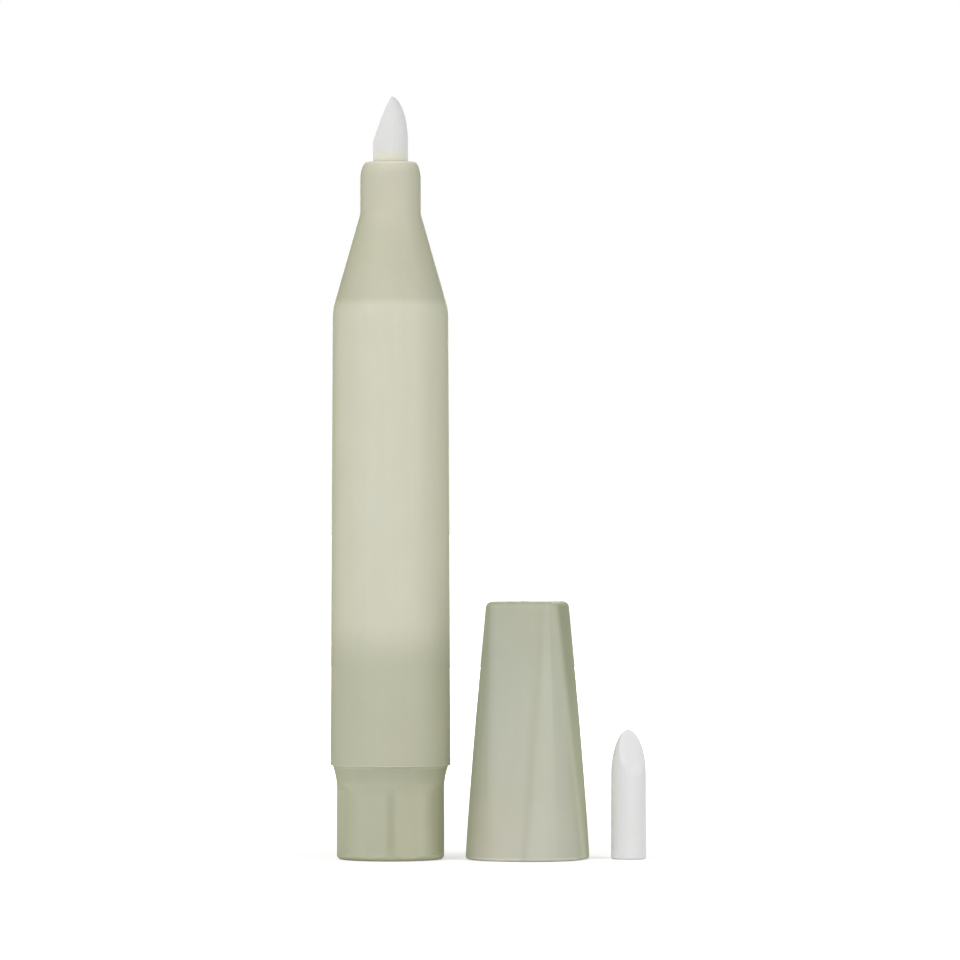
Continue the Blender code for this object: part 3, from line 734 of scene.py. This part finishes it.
def nibGrid(length, radius):
    # below the dome a round rod; in the dome each ring is the part of a circle beyond the bevel's chord,
    # drawn by rays from the middle of that part: softMin(ray to the circle, ray to the chord)
    size, columns = nibSize, fineness["nibColumns"]
    domeBase = length - size["domeHeight"]
    corners = [(0, 0), (radius, 0), (radius, domeBase)]
    rod = filletPath(corners, size["rearFillet"], runSteps=fineness["nibRunSteps"])[1:]
    # u: share of the dome's height; the chord meets the circle, and so ends the nib, where
    # u = 2 x slant / (1 + slant^2)
    slant = (radius + size["pastAxis"]) / radius
    u = 2 * slant / (1 + slant**2) * np.sin(np.linspace(0, np.pi / 2, fineness["domeSteps"])[1:-1])
    heights = np.concatenate((rod[:, 1], domeBase + u * size["domeHeight"]))[:, None]
    circle = np.concatenate((rod[:, 0], radius * np.sqrt(1 - u**2)))[:, None]
    rise = np.clip((heights - domeBase) / size["domeHeight"], 0, 1)
    # the bevel runs from the rod's side to just past the axis: chord = -radius + rise x (radius + past),
    # less the bulge, 4 x bulge x rise x (1 - rise)
    chord = -radius + rise * (radius + size["pastAxis"])
    chord = chord - 4 * size["bevelBulge"] * rise * (1 - rise)
    middle = (np.maximum(chord, -circle) + circle) / 2
    angle = columnAngles(columns)
    toCircle = -middle * np.cos(angle) + np.sqrt(np.maximum(circle**2 - (middle * np.sin(angle))**2, 0))
    facing = np.cos(angle) < -size["leastFacing"]
    toChord = np.where(facing, (chord - middle) / np.where(facing, np.cos(angle), -1), 1)
    # the edge of the bevel grows from sharp at its foot to its full softness
    softness = size["edgeSoftness"] * np.clip(rise / size["softRise"], 0, 1)
    softness = np.minimum(softness, (circle - middle) / 2) + size["leastSoftness"]
    reach = np.where(rise > 0, softMin(toCircle, toChord, softness), toCircle)
    shape = np.broadcast_to(heights, reach.shape)
    return np.stack((middle + reach * np.cos(angle), reach * np.sin(angle), shape), 2)


def turnedGrid(grid, degrees):
    # the grid turned about its upright axis, from the front towards +X
    turn = np.radians(degrees)
    matrix = np.array(((np.cos(turn), np.sin(turn), 0), (-np.sin(turn), np.cos(turn), 0), (0, 0, 1)))
    return grid @ matrix


def buildNibs(felt, wetFelt):
    size = sizeOf("nib")
    grid = nibGrid(size[2], size[0] / 2)
    fitted = skin("fitted_nib", grid, axisOf("nib"))
    dress(fitted, "nib", "nib", wetFelt)
    for node, turn in nibSize["turns"].items():
        piece = skin(node + "_felt", turnedGrid(grid, turn), axisOf(node))
        dress(piece, "spare_nib" if node == "spare_nib" else "tail_cap", node, felt)


def fittedFelt():
    # the fitted nib is soaked from its rear to a little past the barrel's lip
    soaked = (tone(*nibLook["wetRear"]), nibRear(), barrelSpots()["front"] + nibLook["wetPastLip"])
    look = {**nibLook, "color": nibLook["fittedColor"]}
    return feltMaterial("fitted_felt", look, [(*soaked, *nibLook["wetBlurs"])])


# wick, reservoir and its wrap

insideSize = {
    "wickFillet": 0.2 * mm,
    "coreFillet": 0.4 * mm,
    "socketDepth": 4.0 * mm,
    "socketFillet": 0.15 * mm,
    "wrapWall": 0.25 * mm,
    "wrapFillet": 0.1 * mm,
}
fibreLook = {**nibLook, "color": (231, 230, 225), "felt": {"Fibre Scale": 1800.0, "Contrast": 0.16}}
wrapLook = {**polypropylene, "color": (236, 236, 233), "subsurface": 0.0}


def buildInside(fibre, film):
    size = insideSize
    wick, core, wrap = sizeOf("transfer_wick"), sizeOf("reservoir_core"), sizeOf("reservoir_wrap")
    wickRadius, coreRadius = wick[0] / 2, core[0] / 2
    path = filletPath([(0, 0), (wickRadius, 0), (wickRadius, wick[2]), (0, wick[2])], size["wickFillet"])
    turnedPiece("wick_rod", path, "barrel", "transfer_wick", fibre)
    socket, floor = wickRadius + fitGaps["slide"], core[2] - size["socketDepth"]
    path = filletPath(
        [(0, 0), (coreRadius, 0), (coreRadius, core[2]), (socket, core[2]), (socket, floor), (0, floor)],
        2 * [size["coreFillet"]] + 2 * [size["socketFillet"]],
    )
    turnedPiece("fibre_bundle", path, "barrel", "reservoir_core", fibre)
    outside, bore = wrap[0] / 2, wrap[0] / 2 - size["wrapWall"]
    corners = [(bore, 0), (outside, 0), (outside, wrap[2]), (bore, wrap[2])]
    path = filletPath(corners, size["wrapFillet"], closed=True)
    turnedPiece("film_wrap", path, "barrel", "reservoir_wrap", film, looped=True)


# tail cap and its sealing plug

tailSize = {
    "height": 13.545 * mm,
    "bodyDiameter": 15.5 * mm,
    "acrossFlats": 14.76 * mm,
    "flats": 8,
    "flatTurn": 23.2,
    "flatTop": 10.8 * mm,
    "upperRunout": 3.0 * mm,
    "lowerRunout": 0.8 * mm,
    "baseRounding": 0.6 * mm,
    "flareDiameter": 16.75 * mm,
    "flareHeight": 3.5 * mm,
    "flareEdge": 0.02 * mm,
    "floor": 1.4 * mm,
    "spigotWall": 1.0 * mm,
    "spigotFillet": 0.25 * mm,
    "floorFillet": 0.5 * mm,
    "beadHeight": 1.2 * mm,
    "beadPlace": 2.5 * mm,
    "beadDepth": 0.1 * mm,
    "creaseRounding": 0.16 * mm,
    # painted shade in the creases: its width, its shares by height, and its fade on every second crease
    "tintWidth": 0.8 * mm,
    "tintHeights": (0.3 * mm, 2.2 * mm, 7.5 * mm, 11.2 * mm),
    "tintShares": (0.3, 1.0, 1.0, 0.35),
    "tintFade": 0.8,
}
tailLook = {
    **polypropylene,
    "layerTint": (0.895, 0.90, 0.835, 1),
    "color": (180, 181, 160),
    # painted shade along the bottom edge
    "bottomEdgePaintedShade": (171, 173, 152),
    # painted light where the flats run out, against the shade there
    "runoutPaintedLight": (184, 185, 163),
    # painted shade on the flare, whose side faces down
    "flare": (178, 179, 157),
    # painted light on the flare's top, in the shade under the barrel's rear
    "flareLipPaintedLight": (198, 199, 178),
    # painted shade in the creases between the flats
    "ridgePaintedShade": (166, 167, 145),
    "marks": {"ridgePaintedShade": 0.9},
    "zones": {  # from, to, lower blur, upper blur
        "bottomEdgePaintedShade": (-farAway, 0.5 * mm, mm, 0.5 * mm),
        "runoutPaintedLight": (-mm, 0.3 * mm, 1.6 * mm, 0.8 * mm),
        "flare": (0.8 * mm, farAway, mm, mm),
        "flareLipPaintedLight": (-0.3 * mm, 0.3 * mm, 0.3 * mm, 0.3 * mm),
    },
}


def tailFlatDistance(heights):
    # the flats run out to the round body over an arc at both ends:
    # distance = flat + radius - sqrt(radius^2 - past^2), where past is the way beyond the arc's start
    size = tailSize
    depth = (size["bodyDiameter"] - size["acrossFlats"]) / 2
    distance = size["acrossFlats"] / 2
    below, above = size["baseRounding"] - heights, heights - size["flatTop"]
    for radius, ahead in ((size["lowerRunout"], below), (size["upperRunout"], above)):
        past = np.clip(ahead + np.sqrt(2 * radius * depth - depth**2), 0, radius)
        distance = distance + radius - np.sqrt(radius**2 - past**2)
    return distance


def tailBodyRadius(heights):
    # round below the flare, which then curves out as an arc: body + radius - sqrt(radius^2 - rise^2)
    size = tailSize
    width = (size["flareDiameter"] - size["bodyDiameter"]) / 2
    radius = (size["flareHeight"]**2 + width**2) / 2 / width
    rise = np.clip(heights - (size["height"] - size["flareHeight"]), 0, size["flareHeight"])
    return size["bodyDiameter"] / 2 + radius - np.sqrt(radius**2 - rise**2)


def tailRings():
    # rings up the outside: a quarter round, the plain side and the small round of the flare
    size = tailSize
    base, edge, top = size["baseRounding"], size["flareEdge"], size["height"]
    quarter = np.linspace(0, np.pi / 2, fineness["roundSteps"])
    t = np.linspace(0, np.pi / 2, fineness["smallRoundSteps"])[1:]
    return np.vstack((
        ringStack(base * (1 - np.cos(quarter)), base * (1 - np.sin(quarter))),
        ringStack(np.linspace(base, top - edge, fineness["tailSideSteps"])[1:]),
        ringStack(top - edge * (1 - np.sin(t)), edge * (1 - np.cos(t))),
    ))


def spigotPath():
    # from the flare's top inwards, up the spigot with its snap bead, and down the store to its floor
    size = tailSize
    top = sizeOf("tail_cap")[2]
    outside = barrelSize["boreDiameter"] / 2 - fitGaps["slide"]
    store = outside - size["spigotWall"]
    bead, half = size["height"] + size["beadPlace"], size["beadHeight"] / 2
    small = size["flareEdge"]
    return filletPath(
        [(size["flareDiameter"] / 2 - 2 * small, size["height"]), (outside, size["height"]),
         (outside, bead - half), (outside + size["beadDepth"], bead - half / 2),
         (outside + size["beadDepth"], bead + half / 2), (outside, bead + half),
         (outside, top), (store, top), (store, size["floor"]), (0, size["floor"])],
        5 * [small] + [size["spigotFillet"], size["spigotFillet"], size["floorFillet"]],
        arcSteps=fineness["smallArcSteps"],
    )[1:-1]


def buildTailCap(material):
    size = tailSize
    columns = fineness["bodyColumns"]
    angle = columnAngles(columns)
    rings = tailRings()
    heights, inset = rings[:, 0], rings[:, 1:2]
    circle = tailBodyRadius(heights)[:, None] - inset
    flat = tailFlatDistance(heights)[:, None] - inset
    outer = flattedRadius(angle, circle, flat, size)
    spigot = spigotPath()
    radii = np.vstack((outer, np.broadcast_to(spigot[:, :1], (len(spigot), columns))))
    grid = sweptGrid(radii, np.concatenate((heights, spigot[:, 1])), columns)
    # the ridge mark: painted shade in the creases between the flats, from 0 on the flats to 1 between
    # them,
    # weaker on every second crease and towards both ends:
    # clip(1/2 + way round past the flat's end / tint width) x every-second strength x the shares by height
    pitch, offset, reach = flatPlaces(angle, circle, flat, size)
    ridgePaintedShade = np.clip(0.5 + (np.abs(offset) - reach) * circle / size["tintWidth"], 0, 1)
    ridgeShadeStrength = 1 - size["tintFade"] * everySecond(angle + pitch / 2, size)
    ridgePaintedShade = ridgePaintedShade * ridgeShadeStrength * np.interp(heights, size["tintHeights"], size["tintShares"])[:, None]
    marks = {"ridgePaintedShade": np.vstack((ridgePaintedShade, np.ones((len(spigot), columns))))}
    piece = skin("tail_moulding", grid, axisOf("tail_cap"), marks=marks)
    dress(piece, "tail_cap", "tail_cap", material)


def tailMaterial():
    flatTop = tailSize["flatTop"]
    landmarks = {"bottomEdgePaintedShade": 0, "runoutPaintedLight": flatTop, "flare": flatTop, "flareLipPaintedLight": tailSize["height"]}
    return plasticMaterial("frosted_tail", tailLook, zoneBands(tailLook, landmarks))


plugSize = {
    "topWall": 1.6 * mm,
    "wall": 1.0 * mm,
    "height": 5.05 * mm,
    "grooveDepth": 0.4 * mm,
    "grooveHeight": 1.8 * mm,
    "fillet": 0.12 * mm,
}
plugLook = {**polypropylene, "color": (196, 196, 190)}


def buildPlug(material):
    size = plugSize
    whole = sizeOf("sealing_plug")
    radius, front = whole[0] / 2, whole[2]
    seat = front - size["height"]
    middle = (front + seat) / 2
    groove, half = radius - size["grooveDepth"], size["grooveHeight"] / 2
    skirt = radius - tailSize["spigotWall"] - fitGaps["slide"]
    cup = skirt - size["wall"]
    ceiling, step = front - size["topWall"], half - size["grooveDepth"]
    path = filletPath(
        [(0, ceiling), (cup, ceiling), (cup, 0), (skirt, 0), (skirt, seat), (radius, seat),
         (radius, middle - half), (groove, middle - step), (groove, middle + step),
         (radius, middle + half), (radius, front), (0, front)],
        size["fillet"], arcSteps=fineness["smallArcSteps"],
    )
    turnedPiece("plug_moulding", path, "tail_cap", "sealing_plug", material)


# cap shell and its liner

capSize = {
    "rimDiameter": 17.97 * mm,
    "topDiameter": 12.84 * mm,
    "mouthDiameter": 15.9 * mm,
    "flats": 4,
    "flatTurn": -17.0,
    "rimAcross": 17.44 * mm,
    "topAcross": 10.35 * mm,
    "taperPower": 1.12,
    "wall": 0.9 * mm,
    "topWall": 1.2 * mm,
    "topRounding": 0.8 * mm,
    "rimRounding": 0.45 * mm,
    "innerRounding": 0.4 * mm,
    "mouthLead": 0.25 * mm,
    "poleShare": 0.04,
    "creaseRounding": 0.5 * mm,
    "tintWidth": 0.7 * mm,
    # places, widths and ramps of the painted shade and light, in tint widths beyond the end of a flat
    "creaseLead": 0.25,
    "glowPlace": 3.2,
    "glowWidth": 3.0,
    "edgeWidth": 1.8,
    "edgePlaces": (-2.2, -1.2, -0.7),
    "shadeRamp": 3.0,
    "edgeHeights": (0.0, 20 * mm, 37.2 * mm),
    "edgeShares": (1.0, 0.75, 0.6),
    "shadeHeights": (17 * mm, 26 * mm, 36.4 * mm, 36.8 * mm),
    "shadeShares": (0, 1, 1, 0),
    "leastReach": 0.1,  # radians: the marks of narrower flats are weaker
    "secondGain": 2.5,
    "secondCut": 0.75,
    "topFade": 4,
}
capLook = {
    **polypropylene,
    "color": (185, 186, 171),
    "upper": (175, 177, 160),
    "topFace": (196, 197, 182),
    "mouth": (190, 189, 176),
    # painted light on the rounding round the rim, which faces down into shade
    "rim": (214, 213, 202),
    # painted shade along the crease at one end of each flat
    "creasePaintedShade": (172, 175, 157),
    # painted highlight on the round just beyond that crease
    "glow": (193, 196, 180),
    # painted light at the other end of every second flat
    "edge": (212, 214, 199),
    # painted shade across these flats, on their upper part
    "shade": (150, 152, 131),
    "marks": {"creasePaintedShade": 0.5, "glow": 0.5, "shade": 0.42, "edge": 0.8},
    "zones": {  # from, to, lower blur, upper blur
        "mouth": (-farAway, 6 * mm, mm, 12 * mm),
        "rim": (-farAway, 0.4 * mm, mm, 0.5 * mm),
        "upper": (-10.416 * mm, farAway, 22.32 * mm, mm),
        "topFace": (-0.12 * mm, farAway, 0.24 * mm, mm),
    },
}


def capSide(heights, height):
    # rim to top = (height / full height) ^ power, so the side bulges very slightly
    size = capSize
    share = (heights / height)**size["taperPower"]
    circle = (size["rimDiameter"] + (size["topDiameter"] - size["rimDiameter"]) * share) / 2
    flat = (size["rimAcross"] + (size["topAcross"] - size["rimAcross"]) * share) / 2
    return circle, flat


def capMarks(angle, heights, radius, flat, size):
    # past = way round beyond the end of a flat / tint width;
    # crease: painted shade, e^-(past + lead)^2 at the one end of each flat;
    # glow: painted highlight, a wide bell beyond it;
    # edge: painted light, a bell on the other end of every second flat;
    # shade: painted shade, 1 across these flats, on the upper part
    offset, reach = flatPlaces(angle, radius, flat, size)[1:]
    perWidth = radius / size["tintWidth"]
    past = (np.abs(offset) - reach) * perWidth
    onEnd = np.clip(offset * perWidth, 0, 1)
    real = np.clip(reach / size["leastReach"], 0, 1)
    second = np.clip(size["secondGain"] * everySecond(angle, size) - size["secondCut"], 0, 1) * real
    edgePlace = np.interp(heights, size["edgeHeights"], size["edgePlaces"])
    edgeShare = np.interp(heights, size["edgeHeights"], size["edgeShares"])
    upper = np.interp(heights, size["shadeHeights"], size["shadeShares"])
    return {
        "creasePaintedShade": bell(past + size["creaseLead"], 1) * onEnd * real,
        "glow": bell(past - size["glowPlace"], size["glowWidth"]) * np.clip(past, 0, 1) * onEnd * real,
        "edge": bell(past - edgePlace, size["edgeWidth"]) * (1 - onEnd) * second * edgeShare,
        "shade": np.clip(-past / size["shadeRamp"], 0, 1) * second * upper,
    }


def buildCapShell(material):
    # from the ceiling down the inside, round the rim, up the outside and over the top
    size = capSize
    height = sizeOf("cap_shell")[2]
    mouthWall = (size["rimDiameter"] - size["mouthDiameter"]) / 2
    ceiling, sideTop = height - size["topWall"], height - size["topRounding"]
    inner, lead = size["innerRounding"], size["mouthLead"]
    rim, top = size["rimRounding"], size["topRounding"]
    quarter = np.linspace(0, np.pi / 2, fineness["roundSteps"])
    t = quarter[1:]
    plateau = np.linspace(size["poleShare"], 1, fineness["plateauSteps"])
    insideHeights = np.linspace(ceiling - inner, rim, fineness["capInsideSteps"])[1:]
    inside = np.vstack((
        ringStack(ceiling, mouthWall + inner, plateau),
        ringStack(ceiling - inner * (1 - np.cos(t)), mouthWall + inner * (1 - np.sin(t))),
        ringStack(insideHeights, mouthWall),
        ringStack(lead * (1 - np.sin(t)), mouthWall - lead * (1 - np.cos(t))),
    ))
    outside = np.vstack((
        ringStack(rim * (1 - np.cos(quarter)), rim * (1 - np.sin(quarter))),
        ringStack(np.linspace(rim, sideTop, fineness["capOutsideSteps"])[1:]),
        ringStack(sideTop + top * np.sin(t), top * (1 - np.cos(t))),
        ringStack(height, top, plateau[::-1][1:]),
    ))
    rings = np.vstack((inside, outside))
    heights, inset, share = rings[:, :1], rings[:, 1:2], rings[:, 2:]
    circle, flat = capSide(heights, height)
    isInside = np.arange(len(rings))[:, None] < len(inside)
    flatInset = np.where(isInside, inset - mouthWall + size["wall"], inset)
    columns = fineness["bodyColumns"]
    angle = columnAngles(columns)
    radii = share * flattedRadius(angle, circle - inset, flat - flatInset, size)
    grid = sweptGrid(radii, heights[:, 0], columns)
    marks = capMarks(angle, heights, circle - inset, flat - flatInset, size)
    # they fade as share^4 over the flat top and the ceiling
    marks = {mark: values * share**size["topFade"] for mark, values in marks.items()}
    piece = skin("cap_moulding", grid, axisOf("cap_shell"), marks=marks)
    dress(piece, "cap", "cap_shell", material)


def capMaterial():
    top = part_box("cap_shell")[1].z
    landmarks = {"mouth": 0, "rim": 0, "upper": top, "topFace": top}
    return plasticMaterial("frosted_cap", capLook, zoneBands(capLook, landmarks))


linerSize = {
    "wall": 0.8 * mm,
    "nibClearance": 0.7 * mm,
    "sealHeight": 8.0 * mm,
    "stepHeight": 1.0 * mm,
    "leadIn": 0.3 * mm,
    "fillet": 0.15 * mm,
}
linerLook = {**polypropylene, "color": (221, 221, 213)}


def buildCapLiner(material):
    size = linerSize
    whole = sizeOf("cap_liner")
    sealBore = barrelSize["neckDiameter"] / 2 + fitGaps["slide"]
    nibBore = sizeOf("nib")[0] / 2 + size["nibClearance"]
    top, seal, lead, wall = whole[2], size["sealHeight"], size["leadIn"], size["wall"]
    step = seal + size["stepHeight"]
    path = filletPath(
        [(0, top - wall), (nibBore, top - wall), (nibBore, step - wall), (sealBore, seal - wall),
         (sealBore, lead), (sealBore + lead, 0), (sealBore + wall, 0), (sealBore + wall, seal),
         (nibBore + wall, step), (nibBore + wall, top), (0, top)],
        size["fillet"], arcSteps=fineness["smallArcSteps"],
    )
    turnedPiece("liner_moulding", path, "cap", "cap_liner", material)


# build the object

dress(buildBarrel(), "barrel", "barrel", barrelMaterial())
print("barrel done")
buildNibs(feltMaterial("dry_felt", nibLook), fittedFelt())
print("nibs done")
buildInside(feltMaterial("fibre", fibreLook), plasticMaterial("film", wrapLook))
print("wick and reservoir done")
buildTailCap(tailMaterial())
buildPlug(plasticMaterial("plug", plugLook))
print("tail cap done")
buildCapShell(capMaterial())
buildCapLiner(plasticMaterial("liner", linerLook))
print("cap done")


# floor, background, lights and camera

stageLook = {
    "floorColor": (240, 240, 240),
    "floorGlow": 0.40,
    "floorRadius": 6.0,
    "floorDrop": 0.05 * mm,
    "shadowReach": (0.08, 0.30),
    "ambient": 0.30,
    # each lamp: level on a facing surface, degrees round from the front, degrees up, size
    "left": {"level": 0.48, "turn": -39.0, "up": 20.0, "size": 0.6},
    "leftSide": {"level": 0.16, "turn": -88.0, "up": 20.0, "size": 0.6},
    "right": {"level": 0.455, "turn": 53.0, "up": 20.0, "size": 0.6},
    "back": {"level": 0.42, "turn": 180.0, "up": 12.0, "size": 0.6},
    "top": {"level": 0.10, "turn": 0.0, "up": 82.0, "size": 0.6},
    "lampDistance": 1.0,
}
cameraPlace = {
    "x": 12.93 * mm,
    "distance": 1008.6 * mm,
    "height": 54.73 * mm,
    "lens": 261.7,
    "sensor": 36.0,
    "clip": (0.05, 50),
}


def seenRays(tree):
    # 1 for camera, glossy and transmission rays
    path = tree.nodes.new("ShaderNodeLightPath")
    seen = mathNode(tree, "MAXIMUM", path.outputs["Is Camera Ray"], path.outputs["Is Glossy Ray"])
    return mathNode(tree, "MAXIMUM", seen, path.outputs["Is Transmission Ray"])


def buildFloor():
    # a flat disc: radius x (cos t, sin t, 0)
    t = columnAngles(fineness["floorSteps"])
    ring = np.stack((np.cos(t), np.sin(t), 0 * t), 1) * stageLook["floorRadius"]
    mesh = bpy.data.meshes.new("floor")
    mesh.from_pydata(ring, [], [list(range(len(t)))])
    floor = added("floor", mesh)
    floor.location.z = -stageLook["floorDrop"]
    material, tree, shader = newMaterial("pale_floor", {"roughness": 1, "specular": 0})
    shader.inputs["Base Color"].default_value = tone(*stageLook["floorColor"])
    shader.inputs["Emission Color"].default_value = white
    # the glow grows to 1 away from the object, so only the floor near it shows light and shadow
    distance = tree.nodes.new("ShaderNodeVectorMath")
    distance.operation = "LENGTH"
    tree.links.new(objectPlace(tree), distance.inputs[0])
    glow = softRamp(tree, distance.outputs["Value"], stageLook["shadowReach"], (stageLook["floorGlow"], 1))
    glow = mathNode(tree, "MULTIPLY", seenRays(tree), glow)
    tree.links.new(glow, shader.inputs["Emission Strength"])
    mesh.materials.append(material)


def buildWorld():
    world = bpy.data.worlds.new("studio")
    world.use_nodes = True
    tree = world.node_tree
    background = tree.nodes["Background"]
    background.inputs["Color"].default_value = white
    # seen as white, but it lights the object only as much as the ambient level says
    extra = mathNode(tree, "MULTIPLY", seenRays(tree), 1 - stageLook["ambient"])
    tree.links.new(mathNode(tree, "ADD", stageLook["ambient"], extra), background.inputs["Strength"])
    bpy.context.scene.world = world


def addLight(name, aim):
    # a square soft light that gives a facing white surface the level asked for:
    # power = level x pi^2 x distance^2
    look, distance = stageLook[name], stageLook["lampDistance"]
    turn, up = np.radians(look["turn"]), np.radians(look["up"])
    way = np.array((np.sin(turn) * np.cos(up), -np.cos(turn) * np.cos(up), np.sin(up)))
    data = bpy.data.lights.new(name, "AREA")
    data.size = look["size"]
    data.energy = look["level"] * np.pi**2 * distance**2
    light = added(name, data)
    light.location = aim + distance * way
    light.rotation_mode = "QUATERNION"
    light.rotation_quaternion = Vector((-way).tolist()).to_track_quat("-Z", "Y")


def addCamera():
    place = cameraPlace
    data = bpy.data.cameras.new("camera")
    data.lens = place["lens"]
    data.sensor_width = place["sensor"]
    data.clip_start, data.clip_end = place["clip"]
    camera = added("camera", data)
    camera.location = (place["x"], -place["distance"], place["height"])
    camera.rotation_euler = (np.pi / 2, 0, 0)
    bpy.context.scene.camera = camera


buildFloor()
buildWorld()
middle = np.array((cadLow + cadHigh) / 2)
for lightName in ("left", "leftSide", "right", "back", "top"):
    addLight(lightName, middle)
addCamera()
bpy.context.scene.view_settings.view_transform = "Standard"
print("stage done")
